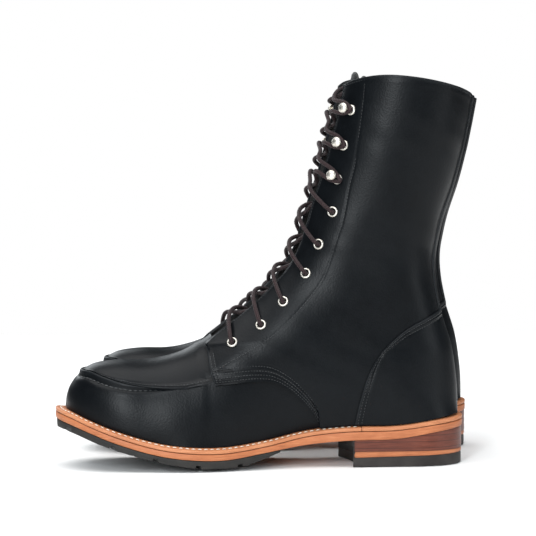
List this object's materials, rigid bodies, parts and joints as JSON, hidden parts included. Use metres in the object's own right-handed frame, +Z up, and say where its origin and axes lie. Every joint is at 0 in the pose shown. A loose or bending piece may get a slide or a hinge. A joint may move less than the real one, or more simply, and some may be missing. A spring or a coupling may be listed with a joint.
{
  "type": "lace-up boots",
  "caption": "Pair of tall black leather lace-up boots with a moc toe, speed hooks, tan stitched welt, lugged rubber forefoot and stacked leather heel.",
  "frame": {"origin": "on the ground plane under the middle of the pair's bounding box", "axes": "+X from the toes to the heels, +Y from the left boot to the right boot, +Z up"},
  "size_m": [0.3374, 0.2104, 0.2935],
  "materials": {
    "black_leather": "smooth oiled satin",
    "tongue_leather": "soft satin",
    "tan_leather": "waxed edge, satin",
    "stacked_leather": "waxed stacked edge, satin",
    "insole_leather": "matt",
    "cork": "matt",
    "forefoot_rubber": "matt",
    "heel_rubber": "matt",
    "nickel": "aged nickel, satin",
    "lace_cord": "waxed braid"
  },
  "bodies": {
    "left_boot": {"left_outsole": "forefoot_rubber", "left_midsole": "tan_leather", "left_welt": "tan_leather", "left_heel_rand": "tan_leather", "left_filler": "cork", "left_insole": "insole_leather", "left_heel_stack": "stacked_leather", "left_heel_lift": "tan_leather", "left_heel_top_lift": "heel_rubber", "left_vamp": "black_leather", "left_apron": "black_leather", "left_quarter_lateral": "black_leather", "left_quarter_medial": "black_leather", "left_heel_counter": "black_leather", "left_backstay": "black_leather", "left_eyelets_lateral": "nickel", "left_eyelets_medial": "nickel", "left_lace": "lace_cord", "left_hook_lateral_1": "nickel", "left_hook_medial_1": "nickel", "left_hook_lateral_2": "nickel", "left_hook_medial_2": "nickel", "left_hook_lateral_3": "nickel", "left_hook_medial_3": "nickel"},
    "left_tongue": {"left_tongue": "tongue_leather"},
    "right_boot": {"right_outsole": "forefoot_rubber", "right_midsole": "tan_leather", "right_welt": "tan_leather", "right_heel_rand": "tan_leather", "right_filler": "cork", "right_insole": "insole_leather", "right_heel_stack": "stacked_leather", "right_heel_lift": "tan_leather", "right_heel_top_lift": "heel_rubber", "right_vamp": "black_leather", "right_apron": "black_leather", "right_quarter_lateral": "black_leather", "right_quarter_medial": "black_leather", "right_heel_counter": "black_leather", "right_backstay": "black_leather", "right_eyelets_lateral": "nickel", "right_eyelets_medial": "nickel", "right_lace": "lace_cord", "right_hook_lateral_1": "nickel", "right_hook_medial_1": "nickel", "right_hook_lateral_2": "nickel", "right_hook_medial_2": "nickel", "right_hook_lateral_3": "nickel", "right_hook_medial_3": "nickel"},
    "right_tongue": {"right_tongue": "tongue_leather"}
  },
  "joints": [
    {"name": "right_boot_lift", "type": "slide", "parent": "left_boot", "child": "right_boot", "axis": [0, 0, 1], "range_m": [0, 0.35]},
    {"name": "left_tongue_bend", "type": "hinge", "parent": "left_boot", "child": "left_tongue", "pos_m": [-0.05972, -0.053, 0.086], "axis": [0, 1, 0], "range_deg": [0, 6]},
    {"name": "right_tongue_bend", "type": "hinge", "parent": "right_boot", "child": "right_tongue", "pos_m": [-0.03772, 0.053, 0.086], "axis": [0, 1, 0], "range_deg": [0, 6]}
  ]
}
